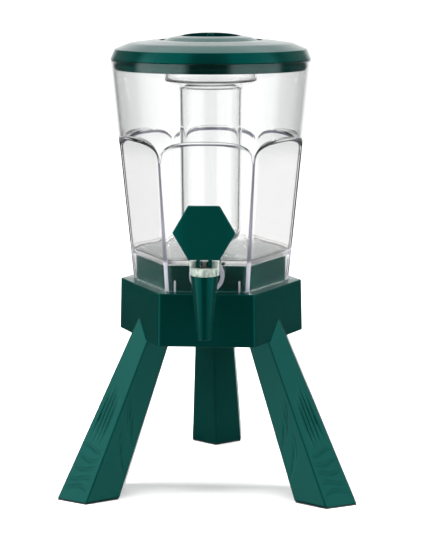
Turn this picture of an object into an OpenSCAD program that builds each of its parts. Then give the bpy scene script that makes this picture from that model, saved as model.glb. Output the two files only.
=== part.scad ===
// A countertop drink dispenser: a clear tapered jug with six arched flats stands on a
// three-legged base, has a spring-closed tap at the front, and a lid that carries a
// hanging ice tube with its own screw cap.
// Millimetres, +Z up. The origin is on the table, under the middle of the bounding box.

/* [Base] */
// Height of the base housing's underside above the table
base_low = 141.8; // [135:0.1:150]
// Height of the deck that the jug stands on
deck_top = 189; // [186:0.5:192]
// Corner radius of the six-sided housing
base_r = 84; // [83:0.5:88]
// Wall of the housing
base_wall = 3; // [2.5:0.5:4]
// Corner radius of the six-sided pedestal inside the jug's skirt
pedestal_r = 67.8; // [66:0.1:68]
// Top of the pedestal
pedestal_top = 212.5; // [208:0.5:213]

/* [Legs] */
// Reach of a leg's outer ridge from the jug's axis, at the foot
foot_reach = 155; // [145:1:165]
// Height of the leg's open rim, which stands on a rubber foot
leg_low = 1; // [1:0.5:2]
// Height of the leg's closed top, inside the housing
leg_top = 172; // [168:1:176]
// Wall of a leg
leg_wall = 2.5; // [2:0.5:3]

/* [Jug] */
// Height of the jug's lower edge
jug_low = 189.1; // [189.1:0.1:189.5]
// Height of the jug's rim
jug_top = 389.6; // [380:0.1:395]
// Outer radius at the lower edge
jug_r = 71.2; // [70.5:0.1:72]
// Growth in radius for each millimetre of height
jug_taper = 0.0934; // [0.08:0.0001:0.1]
// Wall of the jug
jug_wall = 2.6; // [2:0.1:3]
// Height of the tank's floor
floor_top = 217; // [217:0.5:220]
// Height where the arches spring from the corners
arch_spring = 304; // [290:1:320]
// Rise of an arch above its springing
arch_rise = 16.5; // [12:0.5:24]

/* [Tap] */
// Height of the tap's shank
tap_z = 205; // [204.8:0.1:205.2]
// Distance of the nozzle's axis in front of the jug's axis
tap_reach = 100; // [98:1:104]
// Height of the nozzle's mouth
nozzle_low = 155.7; // [150:0.1:160]
// Corner radius of the six-sided lever paddle
paddle_r = 26.7; // [20:0.1:28]
// Height of the paddle's middle
paddle_z = 249.5; // [247:0.5:252]

/* [Lid] */
// Outer radius of the lid's lower edge
lid_r = 90; // [90:0.5:92]
// Outer radius of the ice tube
tube_r = 27.3; // [24:0.1:30]
// Height of the ice tube's closed end
tube_low = 224; // [220:1:260]
// Outer radius of the ice tube's collar
collar_r = 41.5; // [40:0.1:41.8]

/* [Hidden] */
$fn = 96;

green = "#0e4a3c";
clear = "#dfe6e4";
rubber = "#2b2d2c";
steel = "#b9bdbc";
silver = "#aab4ab";
silicone = "#c9cfcc";

// azimuths of the legs and of the screws between them, counter-clockwise from +X
back = 90;
front_left = 210;
front_right = 330;
legs = [back, front_left, front_right];
flat_step = 60;
first_flat = 30;

// paddle: front face and thickness, measured from the jug's axis
paddle_front = 110;
paddle_thick = 4;
bonnet_r = 12.7;
// the bounding box runs from the bonnet's front to the back leg's ridge
axis_y = (tap_reach + bonnet_r - foot_reach) / 2;

eps = 0.01;
gap = 0.25;
cos30 = cos(30);

// ---- shared shapes ----

module on_axis() {
    translate([0, axis_y, 0]) children();
}

module around(azimuth, radius, z) {
    rotate([0, 0, azimuth]) translate([radius, 0, z]) children();
}

module hex_prism(r, z0, z1) {
    translate([0, 0, z0]) cylinder(r = r, h = z1 - z0, $fn = 6);
}

// a cylinder whose axis runs along Y at the shank's height, from y0 to y1
module along_y(r, y0, y1, z = tap_z) {
    translate([0, y0, z]) rotate([-90, 0, 0]) cylinder(r = r, h = y1 - y0);
}

function arc(cx, cz, rx, rz, a0, a1, n) =
    [for (i = [0 : n]) let(a = a0 + (a1 - a0) * i / n) [cx + rx * cos(a), cz + rz * sin(a)]];

// ---- base ----

deck_thick = 3;
pedestal_wall = 2.5;
sump_r = 15.3;
sump_back = -36;
notch_r = 16;
leg_screw_at = 21;
leg_screw_r = 1.95;
plate_screw_at = 56;
plate_screw_r = 1.5;
boss_r = 5;
plate_thick = 2.5;
plate_low = base_low + 0.5;
leg_tab_thick = 3;

// corners of a leg's section at height z, as radial and sideways distances, grown by g
leg_lean = [0.515, 0.4626, 0.3956, 0.354];
leg_slim = 0.0536;
leg_foot = [foot_reach, foot_reach - 17.6, foot_reach - 49.6, foot_reach - 65.5];
leg_half = 24.6;

function leg_radius(i, z) = leg_foot[i] - leg_lean[i] * (z - leg_low);
function leg_side(z) = leg_half - leg_slim * (z - leg_low);
function leg_section(z, g) = [
    [leg_radius(0, z) + 1.15 * g, 0, z],
    [leg_radius(1, z) + 0.55 * g, leg_side(z) + g, z],
    [leg_radius(2, z) - 0.55 * g, leg_side(z) + g, z],
    [leg_radius(3, z) - 1.15 * g, 0, z],
    [leg_radius(2, z) - 0.55 * g, -leg_side(z) - g, z],
    [leg_radius(1, z) + 0.55 * g, -leg_side(z) - g, z]
];

// a straight-edged solid between two levels of a leg
module leg_form(z0, z1, g = 0) {
    n = 6;
    polyhedron(
        points = concat(leg_section(z0, g), leg_section(z1, g)),
        faces = concat(
            [[for (i = [0 : n - 1]) i]],
            [[for (i = [0 : n - 1]) 2 * n - 1 - i]],
            [for (i = [0 : n - 1]) [i, n + i, (i + 1) % n]],
            [for (i = [0 : n - 1]) [(i + 1) % n, n + i, n + (i + 1) % n]]
        )
    );
}

module leg(azimuth) {
    color(green) on_axis() rotate([0, 0, azimuth]) difference() {
        union() {
            leg_form(leg_low, leg_top);
            translate([leg_screw_at - 6, -7, leg_top - leg_tab_thick]) cube([14, 14, leg_tab_thick]);
        }
        leg_form(leg_low - 1, leg_top - leg_tab_thick, -leg_wall);
        translate([leg_screw_at, 0, leg_top - 6]) cylinder(r = 2.2, h = 10);
    }
}

module leg_back() { leg(back); }
module leg_front_left() { leg(front_left); }
module leg_front_right() { leg(front_right); }

// a rubber foot: a lip under the leg's rim and a plug inside it
module foot(azimuth) {
    lip_inset = 0.6;
    plug_high = 5;
    color(rubber) on_axis() rotate([0, 0, azimuth]) {
        leg_form(0, leg_low, -lip_inset);
        leg_form(leg_low - eps, leg_low + plug_high, -leg_wall - gap);
    }
}

module foot_back() { foot(back); }
module foot_front_left() { foot(front_left); }
module foot_front_right() { foot(front_right); }

// a pan-head screw that points up, its head's underside at z
module screw(azimuth, radius, z, r, length) {
    head = 2.2;
    color(steel) on_axis() around(azimuth, radius, z) difference() {
        union() {
            cylinder(r = r, h = length);
            translate([0, 0, -head]) cylinder(r = 2 * r, h = head);
        }
        translate([0, 0, -head - eps]) linear_extrude(1.2) {
            square([2.4 * r, 0.5 * r], center = true);
            square([0.5 * r, 2.4 * r], center = true);
        }
    }
}

module leg_screw(azimuth) { screw(azimuth, leg_screw_at, leg_top - leg_tab_thick, leg_screw_r, 14); }
module leg_screw_back() { leg_screw(back); }
module leg_screw_front_left() { leg_screw(front_left); }
module leg_screw_front_right() { leg_screw(front_right); }

module plate_screw(azimuth) { screw(azimuth, plate_screw_at, plate_low, plate_screw_r, 12); }
module plate_screw_left() { plate_screw(front_left - flat_step); }
module plate_screw_right() { plate_screw(back - flat_step); }
module plate_screw_front() { plate_screw(front_right - flat_step); }

// the sump's outline, a round-bottomed channel along Y that is open upwards
module channel(r, y0, y1, top) {
    along_y(r, y0, y1);
    translate([-r, y0, tap_z]) cube([2 * r, y1 - y0, top - tap_z]);
}

module base_housing() {
    draft = 0.7;
    inner = base_r - base_wall / cos30;
    color(green) on_axis() difference() {
        union() {
            difference() {
                union() {
                    translate([0, 0, base_low])
                        cylinder(r1 = base_r + draft, r2 = base_r - draft, h = deck_top - base_low, $fn = 6);
                    hex_prism(pedestal_r, deck_top - eps, pedestal_top);
                }
                hex_prism(inner - draft, base_low - eps, deck_top - deck_thick);
                difference() {
                    hex_prism(pedestal_r - pedestal_wall / cos30, base_low, pedestal_top - pedestal_wall);
                    channel(notch_r + pedestal_wall, -pedestal_r, sump_back + 1 + pedestal_wall, pedestal_top);
                }
            }
            for (a = legs) {
                around(a, leg_screw_at, leg_top) cylinder(r = boss_r, h = pedestal_top - leg_top - 1);
                around(a - flat_step, plate_screw_at, plate_low + plate_thick)
                    cylinder(r = boss_r - 1, h = deck_top - plate_low - plate_thick - 1);
            }
        }
        channel(notch_r, -pedestal_r, sump_back + 1, pedestal_top + 1);
        for (a = legs) {
            rotate([0, 0, a]) leg_form(base_low - 2, leg_top - 1, gap);
            around(a, leg_screw_at, leg_top - 1) cylinder(r = leg_screw_r + 0.05, h = 14);
            around(a - flat_step, plate_screw_at, base_low) cylinder(r = plate_screw_r + 0.05, h = 14);
        }
    }
}

module base_bottom_plate() {
    inner = base_r - base_wall / cos30 - 1;
    color(green) on_axis() difference() {
        hex_prism(inner, plate_low, plate_low + plate_thick);
        for (a = legs) {
            rotate([0, 0, a]) leg_form(base_low - 2, base_low + 8, gap);
            around(a - flat_step, plate_screw_at, base_low) cylinder(r = plate_screw_r + 0.1, h = 10);
        }
    }
}

// ---- jug ----

floor_low = 213.5;
boss_face = -66;
sump_front = -60.5;
shank_r = 7;

function jug_radius(z) = jug_r + jug_taper * (z - jug_low);

// the flats lean outwards with the corners, which lie on the round cone
flat_lean = atan(jug_taper * cos30);

// how far the flats stay outside the chords between the corners, which leaves a strip of
// the cone along each corner
corner_ease = 0.8;
// how square the arches' shoulders are; 2 is an ellipse
arch_power = 2.6;

function blunt(c) = sign(c) * pow(abs(c), 2 / arch_power);

// outline of one flat, from below the jug up to the arch, in the flat's own plane
function arch_outline(inset) =
    let(
        half = (jug_radius(arch_spring) - inset) / 2 - corner_ease * tan(60) + gap,
        stretch = 1 / cos(flat_lean),
        steps = 30
    )
    concat(
        [[-60, (jug_low - 10) * stretch], [60, (jug_low - 10) * stretch], [60, arch_spring * stretch]],
        [for (i = [0 : steps]) let(t = 180 * i / steps)
            [half * blunt(cos(t)), (arch_spring + (arch_rise + inset) * blunt(sin(t))) * stretch]],
        [[-60, arch_spring * stretch]]
    );

// what a flat takes off the cone: everything outside its leaning plane, up to the arch
module flat_cutter(azimuth, inset) {
    foot = (jug_r - inset - jug_taper * jug_low) * cos30 + corner_ease;
    rotate([0, 0, azimuth]) translate([foot, 0, 0]) rotate([0, flat_lean, 0])
        rotate([90, 0, 90]) linear_extrude(40) polygon(arch_outline(inset));
}

// the jug's form, moved inwards by inset
module jug_form(inset, z0, z1) {
    difference() {
        translate([0, 0, z0])
            cylinder(r1 = jug_radius(z0) - inset, r2 = jug_radius(z1) - inset, h = z1 - z0);
        for (a = [first_flat : flat_step : 359]) flat_cutter(a, inset);
    }
}

module jug_body() {
    rib_at = 28.4;
    rib_proud = 1.1;
    rib = [1.6, rib_proud + 0.4, 10];
    rib_front = -jug_radius(jug_low) * cos30 - corner_ease - rib_proud;
    color(clear, 0.35) on_axis() difference() {
        union() {
            jug_form(0, jug_low, jug_top);
            along_y(notch_r - 0.1, boss_face, sump_front + 3);
            for (s = [-1, 1]) translate([s * rib_at - rib[0] / 2, rib_front, jug_low]) cube(rib);
        }
        jug_form(jug_wall, floor_top, jug_top + 1);
        difference() {
            jug_form(jug_wall, jug_low - 1, floor_low);
            channel(sump_r, boss_face, sump_back, floor_top);
        }
        channel(sump_r - jug_wall, sump_front, sump_back - jug_wall, floor_top + 1);
        along_y(shank_r + 0.2, boss_face - 1, sump_front + 1);
    }
}

// ---- tap ----

bonnet_low = 212;
bonnet_top = 219;
neck_r = 10;
neck_top = 214;
seat_z = 196;
chamber_r = 8.5;
chamber_top = 214.2;
nozzle_r = 6.3;
nozzle_top_r = 11.8;
outlet_r = 4.8;
stem_r = 2.5;
pin_r = 1.25;
pin_z = 221.5;
arm_in = 3.6;
arm_out = 6.5;
washer = 2;
inner_washer = 1.5;
// stem lift for each radian of lever tilt
lift_rate = 4.3;
full_tilt = 42;

module at_tap() {
    on_axis() translate([0, -tap_reach, 0]) children();
}

module tap_body() {
    flow_r = 3.2;
    arm_r = 5;
    flange_r = 12;
    flange_thick = 2.5;
    flange_back = boss_face - washer;
    shank_end = -51;
    top = bonnet_low - 1.2;
    color(green) difference() {
        union() {
            at_tap() rotate_extrude() polygon([
                [0, nozzle_low], [nozzle_r, nozzle_low], [nozzle_top_r, top], [nozzle_top_r, top + 1],
                [neck_r, top + 1], [neck_r, neck_top], [0, neck_top]
            ]);
            on_axis() along_y(arm_r, -tap_reach, flange_back);
            on_axis() along_y(flange_r, flange_back - flange_thick, flange_back);
            on_axis() along_y(shank_r, flange_back, shank_end);
        }
        at_tap() translate([0, 0, seat_z]) cylinder(r = chamber_r, h = 30);
        at_tap() translate([0, 0, nozzle_low - 1]) cylinder(r = outlet_r, h = 60);
        on_axis() along_y(flow_r, -tap_reach, shank_end + 1);
    }
}

module ring_y(r_out, r_in, y0, y1) {
    difference() {
        along_y(r_out, y0, y1);
        along_y(r_in, y0 - 1, y1 + 1);
    }
}

module tap_outer_washer() {
    color(clear, 0.6) on_axis() ring_y(15.5, shank_r + 0.1, boss_face - washer, boss_face);
}

module tap_inner_washer() {
    color(rubber) on_axis() ring_y(11.5, shank_r + 0.1, sump_front, sump_front + inner_washer);
}

module tap_nut() {
    across = 21;
    y0 = sump_front + inner_washer;
    color(green) on_axis() difference() {
        translate([0, y0, tap_z]) rotate([-90, 0, 0]) cylinder(r = across / 2 / cos30, h = 5.5, $fn = 6);
        along_y(shank_r + 0.05, y0 - 1, y0 + 10);
    }
}

module tap_bonnet() {
    ear_in = 6.8;
    ear_top = 224.4;
    ear_half = 5;
    color(silver) at_tap() difference() {
        union() {
            translate([0, 0, bonnet_low]) cylinder(r = bonnet_r, h = bonnet_top - bonnet_low);
            intersection() {
                translate([0, 0, bonnet_top - eps]) cylinder(r = bonnet_r, h = ear_top - bonnet_top);
                for (s = [0, 1]) mirror([s, 0, 0])
                    translate([ear_in, -ear_half, bonnet_low]) cube([bonnet_r, 2 * ear_half, 20]);
            }
        }
        translate([0, 0, bonnet_low - 1]) cylinder(r = neck_r + 0.1, h = chamber_top - bonnet_low + 1);
        cylinder(r = stem_r + 0.08, h = ear_top);
    }
}

module valve_stem() {
    head_r = 3.35;
    head_top = 224;
    color(steel) at_tap() difference() {
        union() {
            translate([0, 0, seat_z + 1]) cylinder(r = stem_r, h = bonnet_top - seat_z);
            translate([0, 0, bonnet_top + 0.15]) cylinder(r = head_r, h = head_top - bonnet_top - 0.15);
        }
        translate([-10, 0, pin_z]) rotate([0, 90, 0]) cylinder(r = pin_r + 0.02, h = 20);
    }
}

module valve_plug() {
    color(rubber) at_tap() difference() {
        translate([0, 0, seat_z + 0.05]) cylinder(r = 7.5, h = 4);
        translate([0, 0, seat_z + 1]) cylinder(r = stem_r, h = 10);
    }
}

// a coil of round wire around the stem, from the plug to the bonnet's ceiling
module valve_spring() {
    wire = 0.5;
    coil = 5.5;
    turns = 4.5;
    z0 = seat_z + 4.05 + wire + 0.05;
    z1 = chamber_top - wire - 0.1;
    steps = 54;
    sides = 6;
    function bead(i, j) =
        let(turn = 360 * turns * i / steps, swing = 360 * j / sides, r = coil + wire * cos(swing))
        [r * cos(turn), r * sin(turn), z0 + (z1 - z0) * i / steps + wire * sin(swing)];
    color(steel) at_tap() polyhedron(
        points = [for (i = [0 : steps], j = [0 : sides - 1]) bead(i, j)],
        faces = concat(
            [[for (j = [0 : sides - 1]) j]],
            [[for (j = [0 : sides - 1]) (steps + 1) * sides - 1 - j]],
            [for (i = [0 : steps - 1], j = [0 : sides - 1])
                [i * sides + j, (i + 1) * sides + j, i * sides + (j + 1) % sides]],
            [for (i = [0 : steps - 1], j = [0 : sides - 1])
                [i * sides + (j + 1) % sides, (i + 1) * sides + j, (i + 1) * sides + (j + 1) % sides]]
        )
    );
}

module lever_pin() {
    color(steel) at_tap() translate([-arm_out, 0, pin_z]) rotate([0, 90, 0])
        cylinder(r = pin_r, h = 2 * arm_out);
}

// the fork arm's side outline around the pin: its heel is an involute, so the stem rises
// by the same amount for each degree of tilt
heel_drop = pin_z - bonnet_top - 0.1;

function heel_point(t) =
    let(h = heel_drop + lift_rate * t * PI / 180, k = lift_rate)
    [-h * sin(t) - k * cos(t), -h * cos(t) + k * sin(t)];

module arm_outline() {
    front = paddle_front - paddle_thick - tap_reach;
    polygon(concat(
        [[3.2, -heel_drop]],
        [for (t = [0 : 6 : full_tilt]) heel_point(t)],
        [[-front - 1.6, 0.6], [-front - 1, 8], [-front - 1, 32], [-front + 1.2, 32], [-front + 4, 10], [3.2, 3]]
    ));
}

module tap_lever() {
    paddle_back = paddle_front - paddle_thick;
    color(green) difference() {
        union() {
            on_axis() translate([0, -paddle_front, paddle_z]) rotate([-90, 0, 0])
                cylinder(r = paddle_r, h = paddle_thick, $fn = 6);
            at_tap() for (s = [-1, 1])
                translate([s > 0 ? arm_in : -arm_out, 0, pin_z]) rotate([90, 0, 90])
                    linear_extrude(arm_out - arm_in) arm_outline();
        }
        at_tap() translate([-10, 0, pin_z]) rotate([0, 90, 0]) cylinder(r = pin_r + 0.05, h = 20);
    }
}

// ---- lid, ice tube and cap ----

lid_low = jug_top + 0.1;
plug_low = 380.8;
plug_r = 85.5;
lid_wall = 2.5;
ledge_z = 400;
ledge_r = 42;
cup_r = 46.5;
flange_thick = 2;
seal_z = 383;
seal_high = 3;
tube_wall = 2.5;
cap_skirt_r = 37.5;
cap_groove = 393.9;
cap_groove_high = 2.7;

module lid() {
    color(green) on_axis() rotate_extrude() polygon([
        [plug_r - lid_wall, plug_low], [plug_r, plug_low],
        [plug_r, seal_z - 0.1], [plug_r - 1, seal_z - 0.1],
        [plug_r - 1, seal_z + seal_high + 0.1], [plug_r, seal_z + seal_high + 0.1],
        [plug_r, lid_low], [lid_r, lid_low],
        [lid_r - 4, lid_low + 9], [lid_r - 8, lid_low + 11.2], [lid_r - 17, lid_low + 14.3],
        [lid_r - 30, lid_low + 16.1], [lid_r - 38, lid_low + 17.1],
        [cup_r, lid_low + 17.1],
        [cup_r, ledge_z], [ledge_r, ledge_z], [ledge_r, ledge_z - 3],
        [cup_r + 3, ledge_z - 3], [cup_r + 3, lid_low + 13.9],
        [lid_r - 30, lid_low + 13.1], [lid_r - 17, lid_low + 11.3], [plug_r - lid_wall, lid_low + 7.5]
    ]);
}

module lid_seal() {
    color(silicone) on_axis() translate([0, 0, seal_z]) difference() {
        cylinder(r = jug_radius(seal_z) - jug_wall - 0.1, h = seal_high);
        translate([0, 0, -1]) cylinder(r = plug_r - 0.9, h = seal_high + 2);
    }
}

module ice_tube() {
    round_r = 14;
    neck_z = 364.5;
    neck_r = 28.6;
    collar_z = 370.5;
    color(clear, 0.35) on_axis() rotate_extrude() polygon(concat(
        [[0, tube_low]],
        arc(tube_r - round_r, tube_low + round_r, round_r, round_r, -90, 0, 8),
        [[neck_r, neck_z], [collar_r, collar_z], [collar_r, ledge_z],
         [cup_r - 0.4, ledge_z], [cup_r - 0.4, ledge_z + flange_thick],
         [collar_r - tube_wall, ledge_z + flange_thick], [collar_r - tube_wall, collar_z + 1.6],
         [neck_r - tube_wall, neck_z + 1.6]],
        arc(tube_r - round_r, tube_low + round_r, round_r - tube_wall, round_r - tube_wall, 0, -90, 8),
        [[0, tube_low + tube_wall]]
    ));
}

module ice_tube_cap() {
    low = ledge_z + flange_thick + 0.1;
    skirt_low = 392;
    dish_r = 25.8;
    dish_z = 398;
    rim_r = 27.5;
    rim_z = 410;
    edge_r = 45.6;
    grip_top = 413;
    grip_half = 4;
    color(green) on_axis() {
        rotate_extrude() polygon([
            [0, dish_z - 2.5], [dish_r + 2.7, dish_z - 2.5], [dish_r + 2.7, rim_z - 4.5],
            [cap_skirt_r - 2.5, rim_z - 5.5], [cap_skirt_r - 2.5, skirt_low], [cap_skirt_r, skirt_low],
            [cap_skirt_r, cap_groove], [cap_skirt_r - 1, cap_groove],
            [cap_skirt_r - 1, cap_groove + cap_groove_high], [cap_skirt_r, cap_groove + cap_groove_high],
            [cap_skirt_r, low], [edge_r, low],
            [edge_r, low + 2.4], [edge_r - 1.4, low + 3.7], [38, 408.2], [32, 409.6], [rim_r + 1, rim_z + 0.2],
            [rim_r, rim_z], [dish_r, rim_z - 2], [dish_r, dish_z], [0, dish_z]
        ]);
        intersection() {
            translate([0, 0, dish_z - 1]) cylinder(r = dish_r + 0.5, h = 30);
            union() {
                translate([0, grip_half, 0]) rotate([90, 0, 0]) linear_extrude(2 * grip_half)
                    polygon(concat([[-28, dish_z - 1], [28, dish_z - 1]],
                        arc(0, rim_z - 1, 28, grip_top - rim_z + 1, 0, 180, 16)));
                translate([-3, -6.5, dish_z - 1]) cube([6, 13, grip_top - dish_z - 0.5]);
            }
        }
    }
}

module cap_seal() {
    color(silicone) on_axis() translate([0, 0, cap_groove + 0.1]) difference() {
        cylinder(r = collar_r - tube_wall - 0.1, h = cap_groove_high - 0.2);
        translate([0, 0, -1]) cylinder(r = cap_skirt_r - 0.9, h = cap_groove_high + 2);
    }
}

base_housing();
base_bottom_plate();
leg_back();
leg_front_left();
leg_front_right();
foot_back();
foot_front_left();
foot_front_right();
leg_screw_back();
leg_screw_front_left();
leg_screw_front_right();
plate_screw_left();
plate_screw_right();
plate_screw_front();
jug_body();
tap_body();
tap_outer_washer();
tap_inner_washer();
tap_nut();
tap_bonnet();
valve_stem();
valve_plug();
valve_spring();
lever_pin();
tap_lever();
lid();
lid_seal();
ice_tube();
ice_tube_cap();
cap_seal();
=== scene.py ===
"""The looks of a countertop drink dispenser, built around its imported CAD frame.

Sizes are in millimetres inside the shape functions and turn into metres in finish_mesh().
x is to the right, -y is the front where the tap is, and every shape is drawn about the
jug's own axis, then moved there by AXIS.
"""
import math

import bmesh
import bpy
from mathutils import Matrix, Vector


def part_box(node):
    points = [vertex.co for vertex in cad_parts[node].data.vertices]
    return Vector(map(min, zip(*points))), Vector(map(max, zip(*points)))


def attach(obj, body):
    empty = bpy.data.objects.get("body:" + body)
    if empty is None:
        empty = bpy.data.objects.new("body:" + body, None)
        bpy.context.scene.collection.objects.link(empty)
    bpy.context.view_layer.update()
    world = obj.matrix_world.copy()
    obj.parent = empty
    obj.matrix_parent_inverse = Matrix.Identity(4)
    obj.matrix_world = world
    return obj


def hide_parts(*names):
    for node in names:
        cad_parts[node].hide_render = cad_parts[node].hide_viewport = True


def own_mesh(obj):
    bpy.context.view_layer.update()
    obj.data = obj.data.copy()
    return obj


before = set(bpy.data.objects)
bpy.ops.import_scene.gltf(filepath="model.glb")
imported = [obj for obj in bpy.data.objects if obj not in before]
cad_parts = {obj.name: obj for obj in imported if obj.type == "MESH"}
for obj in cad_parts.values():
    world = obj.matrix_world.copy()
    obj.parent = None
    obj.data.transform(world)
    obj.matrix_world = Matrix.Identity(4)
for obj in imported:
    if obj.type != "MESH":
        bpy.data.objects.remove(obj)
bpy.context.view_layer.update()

MM = 0.001


def middle(node):
    low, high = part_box(node)
    return (low + high) / 2


def span(node):
    """The lowest and highest corners of a CAD node, in millimetres from the jug's axis."""
    low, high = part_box(node)
    return (low - AXIS) / MM, (high - AXIS) / MM


AXIS = Vector((0.0, middle("lid").y, 0.0))

# ------------------------------------------------------------------ sizes, from the frame

housing_low, housing_high = span("base_housing")
jug_low, jug_high = span("jug_body")
lid_low, lid_high = span("lid")
tube_low, tube_high = span("ice_tube")
bonnet_low, bonnet_high = span("tap_bonnet")
washer_low, washer_high = span("tap_outer_washer")
pin_low, pin_high = span("lever_pin")
spring_low, spring_high = span("valve_spring")
tap_low = span("tap_body")[0]
lever_low = span("tap_lever")[0]

DECK = jug_low.z - 0.1
RIM_Z = jug_high.z
RIM_R = jug_high.x
TAPER = 0.0934
WALL = 2.6
OUTER_FILLET = 5.5
INNER_FILLET = 9.0
FLOOR_Z = 217.0
FLOOR_UNDER = 213.5
ARCH_SPRING = 304.0
ARCH_RISE = 16.5
ARCH_POWER = 2.6
CORNER_EASE = 0.8
TAP_Y = (bonnet_low.y + bonnet_high.y) / 2
SHANK_Z = (washer_low.z + washer_high.z) / 2
SHANK_R = 7.0
LEDGE_Z = 400.0
COS30 = math.cos(math.radians(30))


# ------------------------------------------------------------------ shape helpers

def finish_mesh(name, bm, sharp=38):
    """Turns a bmesh in millimetres into an object in metres, at the jug's axis."""
    bmesh.ops.remove_doubles(bm, verts=bm.verts, dist=1e-4)
    bmesh.ops.recalc_face_normals(bm, faces=bm.faces)
    mesh = bpy.data.meshes.new(name)
    bm.to_mesh(mesh)
    bm.free()
    mesh.transform(Matrix.Translation(AXIS) @ Matrix.Scale(MM, 4))
    piece = bpy.data.objects.new(name, mesh)
    bpy.context.collection.objects.link(piece)
    shade(piece, sharp)
    return piece


def shade(piece, sharp):
    piece.data.shade_smooth()
    piece.data.set_sharp_from_angle(angle=math.radians(sharp))


def rounded(points, steps=5):
    """A polyline with its corners turned into arcs. A point is (x, y) or (x, y, radius)."""
    out = []
    for i, point in enumerate(points):
        here = Vector(point[:2])
        if len(point) < 3 or i in (0, len(points) - 1):
            out.append(here)
            continue
        radius = point[2]
        before = Vector(points[i - 1][:2]) - here
        after = Vector(points[i + 1][:2]) - here
        half = before.angle(after) / 2
        reach = min(radius / math.tan(half), before.length * 0.49, after.length * 0.49)
        start = here + before.normalized() * reach
        end = here + after.normalized() * reach
        for k in range(steps + 1):
            t = k / steps
            out.append((1 - t) ** 2 * start + 2 * t * (1 - t) * here + t ** 2 * end)
    return out


def polar_solid(name, angles, column, closed, sharp=38):
    """A closed surface round the axis. column(angle) gives the same number of (r, z) points
    for each angle; closed joins the last point to the first, otherwise both ends meet the axis."""
    bm = bmesh.new()
    columns = []
    for angle in angles:
        direction = Vector((math.cos(angle), math.sin(angle), 0))
        points = [direction * max(r, 0) + Vector((0, 0, z)) for r, z in column(angle)]
        columns.append([bm.verts.new(point) for point in points])
    rows = len(columns[0])
    last = rows if closed else rows - 1
    for i in range(len(columns)):
        left, right = columns[i], columns[(i + 1) % len(columns)]
        for j in range(last):
            k = (j + 1) % rows
            bm.faces.new((left[j], right[j], right[k], left[k]))
    bmesh.ops.remove_doubles(bm, verts=bm.verts, dist=1e-4)
    bmesh.ops.dissolve_degenerate(bm, dist=1e-4, edges=bm.edges)
    return finish_mesh(name, bm, sharp)


def evenly(count):
    return [2 * math.pi * i / count for i in range(count)]


def rounded_loop(profile, steps=5):
    """rounded() for a closed outline."""
    size = len(profile)
    around = [profile[-1], *profile, profile[0]]
    out = []
    for i in range(1, size + 1):
        out += rounded(around[i - 1:i + 2], steps)[1:-1]
    return out


def lathe(name, profile, segments=128, closed=False, sharp=38):
    """A turned shape. profile is (r, z) or (r, z, radius) points."""
    points = rounded_loop(profile) if closed else rounded(profile)
    return polar_solid(name, evenly(segments), lambda angle: points, closed, sharp)


def hex_radius(apothem, angle, fillet, first_flat=30.0):
    """Distance from the axis to a six-sided outline with rounded corners."""
    phi = abs((math.degrees(angle) - first_flat + 30) % 60 - 30)
    tangent = math.degrees(math.atan((apothem - fillet) * math.tan(math.radians(30)) / apothem))
    if phi <= tangent:
        return apothem / math.cos(math.radians(phi))
    off = math.radians(30 - phi)
    centre = (apothem - fillet) / COS30
    return centre * math.cos(off) + math.sqrt(max(fillet ** 2 - (centre * math.sin(off)) ** 2, 0))


def hex_angles(per_flat=30):
    """Angles crowded towards the six corners, in turn from the first corner."""
    angles = []
    for k in range(6):
        for i in range(per_flat):
            u = -1 + 2 * i / per_flat
            angles.append(math.radians(60 * k + 30 + 30 * math.sin(u * math.pi / 2)))
    return angles


def block(low, high):
    """A bmesh box between two corners."""
    bm = bmesh.new()
    bmesh.ops.create_cube(bm, size=1)
    low, high = Vector(low), Vector(high)
    for v in bm.verts:
        v.co = low + Vector([(c + 0.5) * s for c, s in zip(v.co, high - low)])
    return bm


def extruded(outline, along, start, end):
    """A bmesh prism. outline is (a, b) points, and along is "x", "y" or "z", the way it runs."""
    bm = bmesh.new()
    places = {
        "x": lambda a, b, t: (t, a, b),
        "y": lambda a, b, t: (a, t, b),
        "z": lambda a, b, t: (a, b, t),
    }
    place = places[along]
    first = [bm.verts.new(place(a, b, start)) for a, b in outline]
    second = [bm.verts.new(place(a, b, end)) for a, b in outline]
    count = len(outline)
    bm.faces.new(first)
    bm.faces.new(second[::-1])
    for i in range(count):
        j = (i + 1) % count
        bm.faces.new((first[i], second[i], second[j], first[j]))
    return bm


def stitch(bm, rings):
    """Faces between rings of vertices, and one over each end."""
    count = len(rings[0])
    for first, second in zip(rings, rings[1:]):
        for i in range(count):
            j = (i + 1) % count
            bm.faces.new((first[i], first[j], second[j], second[i]))
    bm.faces.new(rings[0][::-1])
    bm.faces.new(rings[-1])


def bevel(bm, width, segments=3, angle=25):
    """Rounds the edges that turn by more than angle degrees."""
    bmesh.ops.recalc_face_normals(bm, faces=bm.faces)
    least = math.radians(angle)
    edges = [e for e in bm.edges if len(e.link_faces) == 2 and e.calc_face_angle() > least]
    bmesh.ops.bevel(bm, geom=edges, offset=width, segments=segments, profile=0.5, affect="EDGES",
                    clamp_overlap=True)


def disc_y(radius, y0, y1, z, segments=64):
    """A bmesh cylinder that runs along y."""
    outline = [(radius * math.cos(a), z + radius * math.sin(a)) for a in evenly(segments)]
    return extruded(outline, "y", y0, y1)


def combine(piece, tool, operation, sharp=38):
    """Applies a boolean and removes the tool."""
    modifier = piece.modifiers.new("cut", "BOOLEAN")
    modifier.operation = operation
    modifier.object = tool
    modifier.solver = "EXACT"
    bpy.context.view_layer.update()
    shown = piece.evaluated_get(bpy.context.evaluated_depsgraph_get())
    result = bpy.data.meshes.new_from_object(shown)
    piece.modifiers.clear()
    piece.data = result
    result.name = piece.name
    bpy.data.objects.remove(tool)
    shade(piece, sharp)


# ------------------------------------------------------------------ materials

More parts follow.
